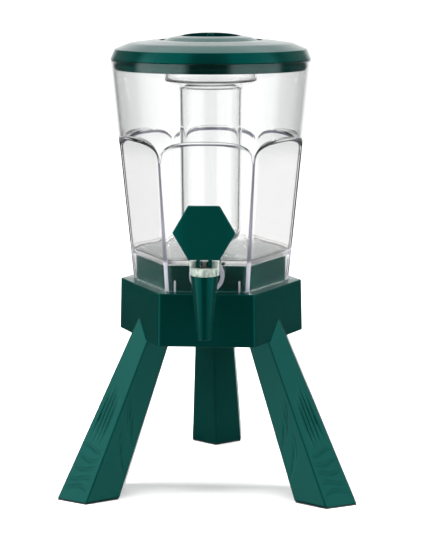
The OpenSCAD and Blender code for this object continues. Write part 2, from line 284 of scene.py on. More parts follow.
def shader(name, color, roughness, **sockets):
    """A material, its node tree and its shader. sockets sets more inputs, with _ for a space."""
    material = bpy.data.materials.new(name)
    material.use_nodes = True
    main = material.node_tree.nodes["Principled BSDF"]
    main.inputs["Base Color"].default_value = (*color, 1)
    main.inputs["Roughness"].default_value = roughness
    for key, value in sockets.items():
        main.inputs[key.replace("_", " ")].default_value = value
    return material, material.node_tree, main


def noise_node(tree, scale, detail=2.0, stretch=(1, 1, 1)):
    """Object-space noise, so that it is the same from every side."""
    place = tree.nodes.new("ShaderNodeTexCoord")
    mapping = tree.nodes.new("ShaderNodeMapping")
    mapping.inputs["Scale"].default_value = stretch
    texture = tree.nodes.new("ShaderNodeTexNoise")
    texture.inputs["Scale"].default_value = scale
    texture.inputs["Detail"].default_value = detail
    tree.links.new(place.outputs["Object"], mapping.inputs["Vector"])
    tree.links.new(mapping.outputs["Vector"], texture.inputs["Vector"])
    return texture.outputs["Fac"]


def spread(tree, source, low, high):
    """source, from 0.3 to 0.7, mapped to low and high."""
    node = tree.nodes.new("ShaderNodeMapRange")
    node.inputs["From Min"].default_value = 0.3
    node.inputs["From Max"].default_value = 0.7
    node.inputs["To Min"].default_value = low
    node.inputs["To Max"].default_value = high
    tree.links.new(source, node.inputs["Value"])
    return node.outputs["Result"]


def math_node(tree, operation, first, second=None):
    """The result of a Math node. first and second are numbers or node outputs."""
    node = tree.nodes.new("ShaderNodeMath")
    node.operation = operation
    for socket, value in zip(node.inputs, (first, second)):
        if isinstance(value, (int, float)):
            socket.default_value = value
        elif value is not None:
            tree.links.new(value, socket)
    return node.outputs["Value"]


def product(tree, first, *others):
    for other in others:
        first = math_node(tree, "MULTIPLY", first, other)
    return first


def total(tree, first, *others):
    for other in others:
        first = math_node(tree, "ADD", first, other)
    return first


def minus(tree, first, second):
    return math_node(tree, "SUBTRACT", first, second)


def soft_step(tree, source, start, end, height=1.0):
    """0 on start's side of the two, height on end's side, smooth between them."""
    node = tree.nodes.new("ShaderNodeMapRange")
    node.interpolation_type = "SMOOTHSTEP"
    node.inputs["From Min"].default_value = start
    node.inputs["From Max"].default_value = end
    node.inputs["To Max"].default_value = height
    tree.links.new(source, node.inputs["Value"])
    return node.outputs["Result"]


def add_bump(tree, main, height, strength, distance):
    node = tree.nodes.new("ShaderNodeBump")
    node.inputs["Strength"].default_value = strength
    node.inputs["Distance"].default_value = distance
    tree.links.new(height, node.inputs["Height"])
    tree.links.new(node.outputs["Normal"], main.inputs["Normal"])


def tint(tree, factor, first, second):
    """first where factor is 0 and second where it is 1; each a colour or a node's output."""
    mix = tree.nodes.new("ShaderNodeMix")
    mix.data_type = "RGBA"
    for key, color in (("A", first), ("B", second)):
        if isinstance(color, tuple):
            mix.inputs[key].default_value = (*color, 1)
        else:
            tree.links.new(color, mix.inputs[key])
    tree.links.new(factor, mix.inputs["Factor"])
    return mix.outputs["Result"]


def two_tone(tree, main, factor, first, second):
    tree.links.new(tint(tree, factor, first, second), main.inputs["Base Color"])


def uneven_gloss(tree, main, scale, detail, low, high, stretch=(1, 1, 1)):
    """Roughness that drifts between low and high over the surface."""
    haze = spread(tree, noise_node(tree, scale, detail, stretch), low, high)
    tree.links.new(haze, main.inputs["Roughness"])


def green_plastic(name, rough, gloss_tint, lightness):
    """Dark glossy green in two close tones. lightness scales both, and paints light and shade between
    parts.
    """
    tones = ((0.0006, 0.025, 0.021), (0.001, 0.031, 0.026))
    dark, light = [tuple(part * lightness for part in tone) for tone in tones]
    material, tree, main = shader(name, light, rough, IOR=1.48, Specular_Tint=(*gloss_tint, 1))
    cloud = spread(tree, noise_node(tree, 14.0, 3.0), 0.0, 1.0)
    two_tone(tree, main, cloud, dark, light)
    uneven_gloss(tree, main, 60.0, 4.0, rough - 0.035, rough + 0.035)
    add_bump(tree, main, noise_node(tree, 900.0, 2.0), 0.03, 0.00005)
    return material


def clear_plastic(name, color):
    material, tree, main = shader(name, color, 0.02, IOR=1.45, Transmission_Weight=1.0)
    uneven_gloss(tree, main, 30.0, 3.0, 0.0, 0.03)
    return material


def cone_radius(z, inset=0.0):
    """Radius of the jug's cone at a height, less inset."""
    return RIM_R - TAPER * (RIM_Z - z) - inset


def jug_coordinates(tree):
    """Place on the jug as node outputs, in metres: x, y and z, the distance out along the nearest
    flat's normal, and how far along that flat, 0 in its middle and 1 at its corner."""
    place = tree.nodes.new("ShaderNodeTexCoord")
    split = tree.nodes.new("ShaderNodeSeparateXYZ")
    tree.links.new(place.outputs["Object"], split.inputs["Vector"])
    x, z = split.outputs["X"], split.outputs["Z"]
    y = math_node(tree, "SUBTRACT", split.outputs["Y"], AXIS.y)
    square = total(tree, product(tree, x, x), product(tree, y, y))
    sixths = math_node(tree, "DIVIDE", math_node(tree, "ARCTAN2", y, x), math.pi / 3)
    turn = math_node(tree, "ABSOLUTE", minus(tree, math_node(tree, "FRACT", sixths), 0.5))
    angle = product(tree, turn, math.pi / 3)
    out = product(tree, math_node(tree, "SQRT", square), math_node(tree, "COSINE", angle))
    along = product(tree, math_node(tree, "TANGENT", angle), 1 / math.tan(math.pi / 6))
    return x, y, z, out, along


def painted_edge_shade(tree, z, along):
    """1 on the line of painted shade that runs round each flat, down its corners and over its arch. It
    widens from the arch's springing down to wide_z."""
    spring, rise = ARCH_SPRING * MM, ARCH_RISE * MM
    half = cone_radius(ARCH_SPRING) / 2 * MM
    half_width, widening, wide_z = 0.0012, 0.0009, 0.2
    height = math_node(tree, "DIVIDE", math_node(tree, "MAXIMUM", minus(tree, z, spring), 0), rise)
    powers = [math_node(tree, "POWER", part, ARCH_POWER) for part in (along, height)]
    curve = math_node(tree, "POWER", total(tree, *powers), 1 / ARCH_POWER)
    scale = total(tree, product(tree, math_node(tree, "POWER", along, 6), half - rise), rise)
    distance = product(tree, math_node(tree, "ABSOLUTE", minus(tree, curve, 1)), scale)
    width = total(tree, soft_step(tree, z, spring, wide_z, widening), half_width)
    return minus(tree, 1, soft_step(tree, minus(tree, distance, width), -0.0003, 0.0005))


def edge_shade_strength(tree, x, y, z, along):
    """How strongly the painted shade line shows. It is weaker on the wall's inner side, and towards the
    ends of the front flat's arch."""
    inner_loss, end_loss, tan30 = 0.85, 0.8, 0.577
    behind = tree.nodes.new("ShaderNodeNewGeometry").outputs["Backfacing"]
    strength = minus(tree, 1, product(tree, behind, inner_loss))
    flat_reach = product(tree, y, -1, tan30)
    front_flat = math_node(tree, "LESS_THAN", math_node(tree, "ABSOLUTE", x), flat_reach)
    on_arch = math_node(tree, "GREATER_THAN", z, ARCH_SPRING * MM)
    arch_end = product(tree, soft_step(tree, along, 0.5, 0.8, end_loss), front_flat, on_arch)
    return product(tree, strength, minus(tree, 1, arch_end))


def floor_shade_masks(tree, z, inside):
    """1 on the tank's floor, and 1 on the corner round it: the places for painted shade."""
    near_floor = product(tree, math_node(tree, "GREATER_THAN", z, (FLOOR_Z - 1) * MM), inside)
    level = product(tree, math_node(tree, "LESS_THAN", z, (FLOOR_Z + 0.2) * MM), near_floor)
    corner = minus(tree, soft_step(tree, z, (FLOOR_Z + 0.2) * MM, (FLOOR_Z + 0.8) * MM),
                   soft_step(tree, z, (FLOOR_Z + 2.6) * MM, (FLOOR_Z + 3.6) * MM))
    return level, product(tree, corner, near_floor)


def jug_plastic():
    """Clear, with painted shade: a dark line down each corner and over each flat's arch, a grey on the
    cone that deepens at its sides where they turn away from view, and a grey on the tank's floor that
    darkens in the corner round it."""
    material, tree, main = shader("jug_plastic", (0.97, 0.975, 0.973), 0.02, IOR=1.4,
                                  Transmission_Weight=1.0)
    x, y, z, out, along = jug_coordinates(tree)
    # a level inside the wall of a flat, which tells its outer side from its inner side
    mid_wall = total(tree, product(tree, z, TAPER * COS30), cone_radius(0) * COS30 * MM - 0.0016)
    outside = math_node(tree, "GREATER_THAN", out, mid_wall)
    inside = math_node(tree, "LESS_THAN", out, mid_wall)
    # the painted shade line, drawn only on the wall's outer side
    line = product(tree, painted_edge_shade(tree, z, along), edge_shade_strength(tree, x, y, z, along), outside)

    # painted shade: the cone greyer than the flats, and greyer still at its sides as they turn away from
    # view
    up_cone = soft_step(tree, z, (ARCH_SPRING - 10) * MM, 0.33)
    facing = tree.nodes.new("ShaderNodeLayerWeight").outputs["Facing"]
    side = product(tree, soft_step(tree, facing, 0.06, 0.2), up_cone)
    # painted shade: the tank's floor greyer, and the corner round it darker still
    level, corner = floor_shade_masks(tree, z, inside)
    color = tint(tree, up_cone, (0.98, 0.983, 0.98), (0.955, 0.957, 0.957))
    color = tint(tree, side, color, (0.84, 0.845, 0.845))
    color = tint(tree, level, color, (0.76, 0.75, 0.735))
    color = tint(tree, corner, color, (0.5, 0.49, 0.48))
    # the painted shade line is near black up the jug and a lighter lilac grey low on the skirt
    edge_shade_color = tint(tree, soft_step(tree, z, 0.29, 0.22), (0.03, 0.03, 0.05), (0.13, 0.12, 0.18))
    tree.links.new(tint(tree, line, color, edge_shade_color), main.inputs["Base Color"])

    haze = spread(tree, noise_node(tree, 30.0, 3.0), 0.0, 0.03)
    on_floor = product(tree, math_node(tree, "LESS_THAN", z, (FLOOR_Z + 1.5) * MM), 0.16)
    rough = math_node(tree, "MAXIMUM", on_floor, product(tree, line, 0.3))
    tree.links.new(math_node(tree, "MAXIMUM", haze, rough), main.inputs["Roughness"])
    return material


def frosted_plastic():
    material, tree, main = shader("frosted_plastic", (0.47, 0.46, 0.52), 0.4, IOR=1.4,
                                  Transmission_Weight=0.5)
    uneven_gloss(tree, main, 80.0, 3.0, 0.34, 0.46)
    return material


def silver_plastic():
    # the silver's green cast, in both its tones, is a painted reflection of the green plastic round it
    material, tree, main = shader("silver_plastic", (0.33, 0.38, 0.34), 0.35, Metallic=0.15)
    uneven_gloss(tree, main, 120.0, 4.0, 0.22, 0.42)
    fleck = spread(tree, noise_node(tree, 260.0, 3.0, (1, 1, 0.6)), 0.0, 1.0)
    two_tone(tree, main, fleck, (0.08, 0.11, 0.09), (0.36, 0.41, 0.37))
    add_bump(tree, main, noise_node(tree, 700.0, 2.0), 0.1, 0.0001)
    return material


def rubber():
    material, tree, main = shader("black_rubber", (0.02, 0.021, 0.02), 0.6)
    uneven_gloss(tree, main, 200.0, 4.0, 0.5, 0.75)
    add_bump(tree, main, noise_node(tree, 1200.0, 3.0), 0.3, 0.0001)
    return material


def silicone():
    material, tree, main = shader("silicone", (0.62, 0.66, 0.63), 0.35, IOR=1.42, Transmission_Weight=0.6)
    uneven_gloss(tree, main, 90.0, 3.0, 0.28, 0.42)
    return material


def steel():
    material, tree, main = shader("steel", (0.55, 0.55, 0.54), 0.3, Metallic=1.0)
    uneven_gloss(tree, main, 300.0, 3.0, 0.22, 0.4, (1, 1, 12))
    return material


# one green plastic at three lightnesses, painted light and shade: the housing, lid, cap and tap darkest,
# the legs lighter, the paddle and its arms lightest
GREEN = green_plastic("green_plastic", 0.165, (0.0, 0.9, 0.8), 0.52)
PADDLE_GREEN = green_plastic("paddle_plastic", 0.165, (0.0, 0.8, 0.75), 0.86)
LEG_GREEN = green_plastic("leg_plastic", 0.22, (0.16, 1.0, 0.88), 0.62)
CLEAR = clear_plastic("clear_plastic", (0.985, 0.99, 0.988))
JUG = jug_plastic()
FROSTED = frosted_plastic()
SILVER = silver_plastic()
RUBBER = rubber()
SILICONE = silicone()
STEEL = steel()


def dress(piece, material):
    piece.data.materials.clear()
    piece.data.materials.append(material)


def add_piece(piece, body, material, *nodes):
    """Gives a piece its material and its body. nodes are the CAD nodes that it replaces."""
    dress(piece, material)
    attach(piece, body)
    if nodes:
        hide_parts(*nodes)
    return piece


# ------------------------------------------------------------------ jug

def arch_z(angle, inset):
    """Height of the arch over a flat, at this angle."""
    phi = math.degrees(angle) % 60 - 30
    half = cone_radius(ARCH_SPRING, inset) / 2 - CORNER_EASE
    x = min(abs(math.tan(math.radians(phi))) * cone_radius(ARCH_SPRING, inset) * COS30, half)
    return ARCH_SPRING + (ARCH_RISE + inset) * (1 - (x / half) ** ARCH_POWER) ** (1 / ARCH_POWER)


def flat_radius(angle, z, inset, fillet):
    """Distance from the axis to a flat's face, or to the fillet at its corner."""
    return hex_radius(cone_radius(z, inset) * COS30 + CORNER_EASE, angle, fillet)


def wall_rows(angle, low, high, inset, fillet, rows_below=14, rows_above=10):
    """(r, z) up one side of the wall, over the flat, round the arch's ledge and up the cone."""
    top = arch_z(angle, inset)
    ease = 1.1
    out = []
    for i in range(rows_below):
        z = low + (top - ease - low) * i / (rows_below - 1)
        out.append((flat_radius(angle, z, inset, fillet), z))
    inner = flat_radius(angle, top, inset, fillet)
    outer = max(cone_radius(top, inset), inner)
    edge = min((outer - inner) / 2, ease) * 0.8
    half_slope = 0.25
    ledge = [(flat_radius(angle, top - ease, inset, fillet), top - ease),
             (inner, top - half_slope, edge), (outer, top + half_slope, edge),
             (cone_radius(top + ease, inset), top + ease)]
    out += [tuple(point) for point in rounded(ledge, 4)][1:]
    for i in range(1, rows_above):
        z = top + ease + (high - top - ease) * i / (rows_above - 1)
        out.append((cone_radius(z, inset), z))
    return out


def jug_column(angle):
    """(r, z) points from under the tank's floor, round the skirt and the rim, to the floor's top."""
    skirt_in = flat_radius(angle, FLOOR_UNDER, WALL, INNER_FILLET)
    foot_in = flat_radius(angle, jug_low.z, WALL, INNER_FILLET)
    foot_out = flat_radius(angle, jug_low.z, 0, OUTER_FILLET)
    floor_r = flat_radius(angle, FLOOR_Z, WALL, INNER_FILLET)
    edge, rim_edge, floor_edge = 0.7, 1.0, 3.0
    under = [(part * skirt_in, FLOOR_UNDER) for part in (0, 0.3, 0.6, 0.8, 0.95)]
    under += rounded([(0.96 * skirt_in, FLOOR_UNDER), (skirt_in, FLOOR_UNDER, 1.2),
                      (foot_in, jug_low.z + 5)])[1:]
    under += rounded([(foot_in, jug_low.z + 4), (foot_in, jug_low.z, edge), (foot_out, jug_low.z, edge),
                      (foot_out, jug_low.z + 2)])
    outside = wall_rows(angle, jug_low.z + 3, RIM_Z - 2, 0, OUTER_FILLET)
    inside = wall_rows(angle, FLOOR_Z + 6, RIM_Z - 2, WALL, INNER_FILLET)[::-1]
    rim = rounded([outside[-1], (cone_radius(RIM_Z), RIM_Z, rim_edge),
                   (cone_radius(RIM_Z, WALL), RIM_Z, rim_edge), inside[0]])[1:-1]
    floor = rounded([(floor_r, FLOOR_Z + 3.5), (floor_r, FLOOR_Z, floor_edge), (floor_r - 12, FLOOR_Z)])
    floor += [(part * (floor_r - 14), FLOOR_Z) for part in (1, 0.7, 0.35, 0)]
    return [*under, *outside, *rim, *inside, *floor]


def channel_outline(radius, top, steps=24):
    """The sump's section: a half circle under two straight sides."""
    angles = [math.pi + math.pi * i / steps for i in range(steps + 1)]
    half = [(radius * math.cos(a), SHANK_Z + radius * math.sin(a)) for a in angles]
    return [*half, (radius, top), (-radius, top)]


SUMP_R = 15.3
SUMP_BACK = -36.0
SUMP_FRONT = -60.5
BOSS_FACE = washer_high.y
# an edge of the jug that turns by more degrees than this stays sharp
JUG_SHARP = 40


def make_jug():
    """The tapered tank with its six arched flats, and the sump that the tap is screwed into."""
    jug = polar_solid("jug_shell", hex_angles(), jug_column, closed=False, sharp=JUG_SHARP)
    trough = extruded(channel_outline(SUMP_R, FLOOR_UNDER + 1.5), "y", SUMP_FRONT - 1.2, SUMP_BACK)
    combine(jug, finish_mesh("trough", trough), "UNION", JUG_SHARP)
    boss = disc_y(SUMP_R + 0.6, BOSS_FACE, SUMP_FRONT + 0.5, SHANK_Z)
    bevel(boss, 0.5, 2, 60)
    combine(jug, finish_mesh("boss", boss), "UNION", JUG_SHARP)
    hollow = extruded(channel_outline(SUMP_R - WALL, FLOOR_Z + 3), "y", SUMP_FRONT, SUMP_BACK - WALL)
    bevel(hollow, 1.0, 3, 60)
    combine(jug, finish_mesh("hollow", hollow), "DIFFERENCE", JUG_SHARP)
    hole = disc_y(SHANK_R + 0.2, BOSS_FACE - 2, SUMP_FRONT + 2, SHANK_Z)
    combine(jug, finish_mesh("hole", hole), "DIFFERENCE", JUG_SHARP)
    jug.visible_shadow = False
    return add_piece(jug, "jug", JUG, "jug_body")


def add_skirt_line(piece):
    """Adds a cloudy piece of the skirt: a rib, or a painted light stripe. Like the clear pieces, it casts
    no shadow.
    """
    piece.visible_shadow = False
    add_piece(piece, "jug", FROSTED)


def skirt_light_stripe(azimuth):
    """A thin skin over one corner of the skirt, just proud of it and sunk into it: a painted light stripe
    down the corner.
    """
    half_angle, steps, rows = 0.026, 8, 12
    proud, sunk = 0.15, -0.5
    sides = ((proud, range(steps + 1)), (sunk, range(steps, -1, -1)))
    bm = bmesh.new()
    rings = []
    for row in range(rows + 1):
        z = jug_low.z + 0.3 + (FLOOR_UNDER + 2 - jug_low.z) * row / rows
        ring = []
        for offset, order in sides:
            for k in order:
                angle = azimuth + half_angle * (2 * k / steps - 1)
                r = flat_radius(angle, z, 0, OUTER_FILLET) + offset
                ring.append(bm.verts.new((r * math.cos(angle), r * math.sin(angle), z)))
        rings.append(ring)
    stitch(bm, rings)
    return bm


def make_skirt_lines():
    """The skirt's two ribs, and a painted light stripe down each of its corners."""
    flat = cone_radius(jug_low.z) * COS30 + CORNER_EASE
    rib_at, rib_half, rib_proud, rib_sunk, rib_high = 28.4, 0.8, 1.1, 0.3, 10
    for side, name in ((-1, "left"), (1, "right")):
        rib = block((side * rib_at - rib_half, -flat - rib_proud, jug_low.z),
                    (side * rib_at + rib_half, -flat + rib_sunk, jug_low.z + rib_high))
        bevel(rib, 0.35, 2)
        add_skirt_line(finish_mesh("skirt_rib_" + name, rib))
    for sixth in range(6):
        edge = skirt_light_stripe(sixth * math.pi / 3)
        add_skirt_line(finish_mesh(f"skirt_light_stripe_{sixth + 1}", edge))


# ------------------------------------------------------------------ base

def make_housing():
    """The six-sided housing with its deck and the pedestal that the jug's skirt fits over."""
    draft = 0.7
    base_r = housing_high.x - draft
    pedestal_r = 67.8
    lip, lip_high = 3.5, 5
    notch_r, notch_front = 16.0, -60.0
    fillet = 2.2

    def column(angle):
        def at(radius):
            return hex_radius(radius * COS30, angle, fillet)

        low, top = housing_low.z, housing_high.z
        lip_z = low + lip_high
        inner = at(base_r - lip)
        points = [(0, lip_z), (inner * 0.98, lip_z), (inner, lip_z, 0.4), (inner, low, 0.5),
                  (at(base_r + draft), low, 0.6), (at(base_r - draft), DECK, 1.1),
                  (at(pedestal_r), DECK, 1.4), (at(pedestal_r), top, 1.0), (0, top)]
        return rounded(points, 4)

    housing = polar_solid("housing_shell", hex_angles(18), column, closed=False, sharp=35)
    notch = extruded(channel_outline(notch_r, housing_high.z + 5), "y", notch_front, SUMP_BACK + 1)
    combine(housing, finish_mesh("notch", notch), "DIFFERENCE", 35)
    return add_piece(housing, "base", GREEN, "base_housing")


# a leg's section at LEG_Z: how far in from the outer ridge its corners lie, and how far each
# moves in for a millimetre of height
LEG_REACH = 155.0
LEG_Z = 1.0
LEG_STEPS = (0.0, 17.6, 49.6, 65.5)
LEG_LEAN = (0.515, 0.4626, 0.3956, 0.354)
LEG_HALF = 24.6
LEG_SLIM = 0.0536


def leg_corners(z):
    rise = z - LEG_Z
    radial = [LEG_REACH - step - lean * rise for step, lean in zip(LEG_STEPS, LEG_LEAN)]
    side = LEG_HALF - LEG_SLIM * rise
    return [Vector((radial[0], 0)), Vector((radial[1], side)), Vector((radial[2], side)),
            Vector((radial[3], 0)), Vector((radial[2], -side)), Vector((radial[1], -side))]


# the carving on an outer face: upright lines as (u, low, high, lean), and waves by their heights
BARK_LINES = ((0.24, 56, 98, 0.0006), (0.4, 50, 104, 0.0), (0.55, 53, 100, -0.0004), (0.7, 50, 92, 0.0004))
BARK_WAVES = (47, 38, 30, 21, 13)
# the carving on a side face: blades as (u at the top, low, length)
BLADES = ((0.25, 30, 38), (0.4, 24, 34), (0.3, 52, 36), (0.5, 44, 34), (0.15, 66, 28), (0.6, 18, 24))
# rough widths of a leg's outer and side faces, which turn u into millimetres
OUTER_FACE, SIDE_FACE = 29, 32


def groove(distance, width, depth):
    return depth * math.exp(-(distance / width) ** 2)


def bark(u, z):
    """Depth of the carving on an outer face. u runs from 0 at the ridge to 1, z is a height."""
    depth = 0.0
    for line_u, low, high, lean in BARK_LINES:
        if low < z < high:
            fade = math.sin(math.pi * (z - low) / (high - low)) ** 0.5
            off = (u - line_u - lean * (z - 80)) * OUTER_FACE
            depth = max(depth, fade * groove(off, 1.0, 0.8))
    margin = 0.08
    for k, height in enumerate(BARK_WAVES):
        wave = height + 1.8 * math.sin((u + 0.17 * k) * 2 * math.pi) - 2.0 * (u - 0.5)
        if margin < u < 1 - margin:
            fade = math.sin(math.pi * (u - margin) / (1 - 2 * margin)) ** 0.5
            depth = max(depth, fade * groove(z - wave, 1.1, 0.8))
    return depth


def leaves(u, z):
    """Depth of the carving on a side face: slanting blades."""
    depth = 0.0
    for top_u, low, length in BLADES:
        t = (z - low) / length
        if 0 < t < 1:
            line = top_u + 0.42 * (1 - t) ** 1.6
            fade = math.sin(math.pi * t) ** 0.6
            depth = max(depth, fade * groove((u - line) * SIDE_FACE, 1.0, 0.7))
    return depth


# faces by their first corner: the pattern, and whether u runs backwards
CARVED = {0: (bark, False), 1: (leaves, False), 4: (leaves, True), 5: (bark, True)}


def leg_ring(z):
    """A leg's section at a height, carved, with rounded corners and an eased lower edge."""
    fine, coarse, arc_steps, corner, ease = 30, 5, 3, 1.2, 0.8
    corners = leg_corners(z)
    inset = ease * (1 - min((z - LEG_Z) / ease, 1))
    ring = []
    for i in range(6):
        a, b, c = corners[i], corners[(i + 1) % 6], corners[(i + 2) % 6]
        along = (b - a).normalized()
        out = Vector((along.y, -along.x))
        length = (b - a).length
        count = fine if i in CARVED else coarse
        for k in range(count + 1):
            u = (corner + (length - 2 * corner) * k / count) / length
            push = -inset
            if i in CARVED:
                pattern, backwards = CARVED[i]
                push -= pattern(1 - u if backwards else u, z)
            ring.append(a + (b - a) * u + out * push)
        onward = (c - b).normalized()
        next_out = Vector((onward.y, -onward.x))
        start = b - along * corner - out * inset
        end = b + onward * corner - next_out * inset
        bend = b - (out + next_out) * inset / 2
        for k in range(1, arc_steps):
            t = k / arc_steps
            ring.append((1 - t) ** 2 * start + 2 * t * (1 - t) * bend + t ** 2 * end)
    return ring


def make_leg(name, azimuth, node):
    """One leg. The rings are close together over the carved part and wide apart above it."""
    turn = Matrix.Rotation(math.radians(azimuth), 3, "Z")
    heights = [LEG_Z, LEG_Z + 0.8]
    heights += [LEG_Z + 2 + i for i in range(118)]
    heights += [122 + 8.3 * i for i in range(7)]
    bm = bmesh.new()
    rings = [[bm.verts.new(turn @ Vector((p.x, p.y, z))) for p in leg_ring(z)] for z in heights]
    stitch(bm, rings)
    return add_piece(finish_mesh(name, bm, 50), "base", LEG_GREEN, node)


# ------------------------------------------------------------------ lid, ice tube, cap

CUP_R = 46.5


def make_lid():
    """The lid: a plug with a groove for its seal, a sloping rim, raised rings and a cup's ledge."""
    low = RIM_Z + 0.1
    r = lid_high.x
    plug_in, plug_r, groove_r = 83.0, 85.5, 84.5
    groove_low, groove_high = 382.9, 386.1
    ledge_r, ledge_thick, cup_out = 42.0, 3, CUP_R + 3
    profile = [
        (plug_in, lid_low.z, 0.5), (plug_r, lid_low.z, 0.5), (plug_r, groove_low, 0.2),
        (groove_r, groove_low), (groove_r, groove_high), (plug_r, groove_high, 0.2),
        (plug_r, low, 0.5), (r, low, 0.6), (r - 3.9, low + 8.9, 0.9), (r - 17, low + 14.3, 20),
        (r - 34, low + 16.5, 20), (CUP_R, low + 17.1, 0.8), (CUP_R, LEDGE_Z), (ledge_r, LEDGE_Z, 0.4),
        (ledge_r, LEDGE_Z - ledge_thick, 0.5), (cup_out, LEDGE_Z - ledge_thick, 1),
        (cup_out, low + 13.6, 1), (r - 17, low + 11.3, 8), (plug_in, low + 6.9, 2)]
    lid = lathe("lid_shell", profile, 160, closed=True)
    return add_piece(lid, "lid", GREEN, "lid")


def make_ice_tube():
    """The clear tube with its round end, neck, collar and flange."""
    wall, r, end_round = 2.5, 27.3, 14
    neck_r, neck_z = 28.6, 364.5
    collar_r, collar_z = 41.5, 370.5
    flange_r, top = CUP_R - 0.4, tube_high.z
    profile = [
        (0, tube_low.z), (r, tube_low.z, end_round), (neck_r, neck_z, 1.5), (collar_r, collar_z, 2),
        (collar_r, LEDGE_Z, 0.6), (flange_r, LEDGE_Z, 0.4), (flange_r, top, 0.5),
        (collar_r - wall, top, 0.6), (collar_r - wall, collar_z + 1.6, 2.5),
        (neck_r - wall, neck_z + 1.6, 2.5), (r - wall, tube_low.z + wall, end_round - wall),
        (0, tube_low.z + wall)]
    tube = lathe("ice_tube_shell", profile, 128)
    tube.visible_shadow = False
    return add_piece(tube, "lid", CLEAR, "ice_tube")


def make_cap():
    """The tube's cap: a skirt with a groove for its seal, a dish, and a grip bar across the dish."""
    low = tube_high.z + 0.1
    skirt_in, skirt_r, skirt_low = 35, 37.5, 392
    groove_r, groove_low, groove_high = 36.5, 393.9, 396.6
    dish_r, dish_z, dish_thick = 25.8, 398, 2.5
    grip_reach, grip_z, grip_rise = 28, 409, 4
    profile = [
        (0, dish_z - dish_thick), (28.5, dish_z - dish_thick, 1), (28.5, 405.5, 1), (skirt_in, 404.5, 1),
        (skirt_in, skirt_low, 0.6), (skirt_r, skirt_low, 0.6), (skirt_r, groove_low),
        (groove_r, groove_low), (groove_r, groove_high), (skirt_r, groove_high), (skirt_r, low, 0.4),
        (45.6, low, 0.5), (45.5, low + 2.8, 1.6), (36, 408.9, 12), (27.6, 410.4, 1.3),
        (dish_r, 408.4, 0.8), (dish_r, dish_z, 1.5), (0, dish_z)]
    cap = lathe("cap_shell", profile, 128)
    add_piece(cap, "cap", GREEN, "ice_tube_cap")
    steps = 24
    end = dish_r + 0.1
    grip_low = dish_z - 0.5
    angles = [math.pi * i / steps for i in range(steps + 1)]
    arch = [(grip_reach * math.cos(a), grip_z + grip_rise * math.sin(a)) for a in angles]
    arch = [(x, z) for x, z in arch if abs(x) < end]
    end_z = grip_z + grip_rise * math.sqrt(1 - (end / grip_reach) ** 2)
    grip = extruded([(-end, grip_low), (end, grip_low), (end, end_z), *arch, (-end, end_z)], "y", -4, 4)
    bevel(grip, 0.9, 3, 40)
    add_piece(finish_mesh("cap_grip", grip), "cap", GREEN)
    rib = block((-3, -6.5, grip_low), (3, 6.5, 412.3))
    bevel(rib, 0.8, 3)
    add_piece(finish_mesh("cap_grip_rib", rib), "cap", GREEN)


# ------------------------------------------------------------------ tap

def at_tap(bm):
    bmesh.ops.translate(bm, verts=bm.verts, vec=(0, TAP_Y, 0))
    return bm


def lathe_at_tap(name, profile):
    piece = lathe(name, profile, 72, closed=True)
    piece.data.transform(Matrix.Translation((0, TAP_Y * MM, 0)))
    return piece


# heights of the valve's seat and of its chamber's top, and the lift for a radian of lever tilt
SEAT_Z = 196
CEILING_Z = 214
NECK_R = 10
BONNET_TOP = 219.0
ARM_OUT = 6.5
LIFT_RATE = 4.3


def make_tap():
    """The nozzle with its valve chamber, and the shank with its flange."""
    low, top = tap_low.z, bonnet_low.z - 1.2
    outlet_r, mouth_r, shoulder_r, chamber_r = 4.8, 6.3, 11.8, 8.5
    nozzle = lathe_at_tap("tap_nozzle", [
        (outlet_r, SEAT_Z, 0.4), (outlet_r, low, 0.5), (mouth_r, low, 0.6), (shoulder_r, top, 0.4),
        (shoulder_r, top + 1, 0.4), (NECK_R, top + 1), (NECK_R, CEILING_Z, 0.5),
        (chamber_r, CEILING_Z, 0.5), (chamber_r, SEAT_Z, 0.4)])
    add_piece(nozzle, "jug", GREEN, "tap_body")
    arm_r, flange_r, flange_front, flange_back, shank_end = 5, 12, -70.5, -68, -51.5
    profile = rounded([
        (0, TAP_Y + 9), (arm_r, TAP_Y + 9), (arm_r, flange_front, 1.5), (flange_r, flange_front, 0.6),
        (flange_r, flange_back, 0.4), (SHANK_R, flange_back), (SHANK_R, shank_end, 0.8), (0, shank_end)])
    shank = bmesh.new()
    columns = []
    for a in evenly(64):
        points = [(r * math.cos(a), y, SHANK_Z + r * math.sin(a)) for r, y in profile]
        columns.append([shank.verts.new(point) for point in points])
    for left, right in zip(columns, columns[1:] + columns[:1]):
        for j in range(len(profile) - 1):
            shank.faces.new((left[j], right[j], right[j + 1], left[j + 1]))
    bmesh.ops.remove_doubles(shank, verts=shank.verts, dist=1e-4)
    add_piece(finish_mesh("tap_shank", shank), "jug", GREEN)


def make_bonnet():
    """The silver bonnet with two ears, between which the lever's arms stand."""
    r, low, top = 12.7, bonnet_low.z, BONNET_TOP
    stem_hole, neck_hole, roof_z = 2.6, NECK_R + 0.1, CEILING_Z + 0.3
    body = lathe_at_tap("bonnet_shell", [
        (stem_hole, roof_z, 0.3), (neck_hole, roof_z), (neck_hole, low, 0.4), (r, low, 0.7),
        (r, top, 0.9), (stem_hole, top, 0.3)])
    add_piece(body, "jug", SILVER, "tap_bonnet")
    ear_in, ear_half, steps = 6.8, 5, 10
    across = [-ear_half + 2 * ear_half * i / steps for i in range(steps + 1)]
    for side, name in ((-1, "left"), (1, "right")):
        outer = [(side * math.sqrt(r ** 2 - y ** 2), y) for y in across]
        outline = [(side * ear_in, -ear_half), *outer, (side * ear_in, ear_half)]
        ear = extruded(outline, "z", top - 0.5, bonnet_high.z)
        bevel(ear, 0.6, 3, 40)
        add_piece(finish_mesh("bonnet_ear_" + name, at_tap(ear)), "jug", SILVER)


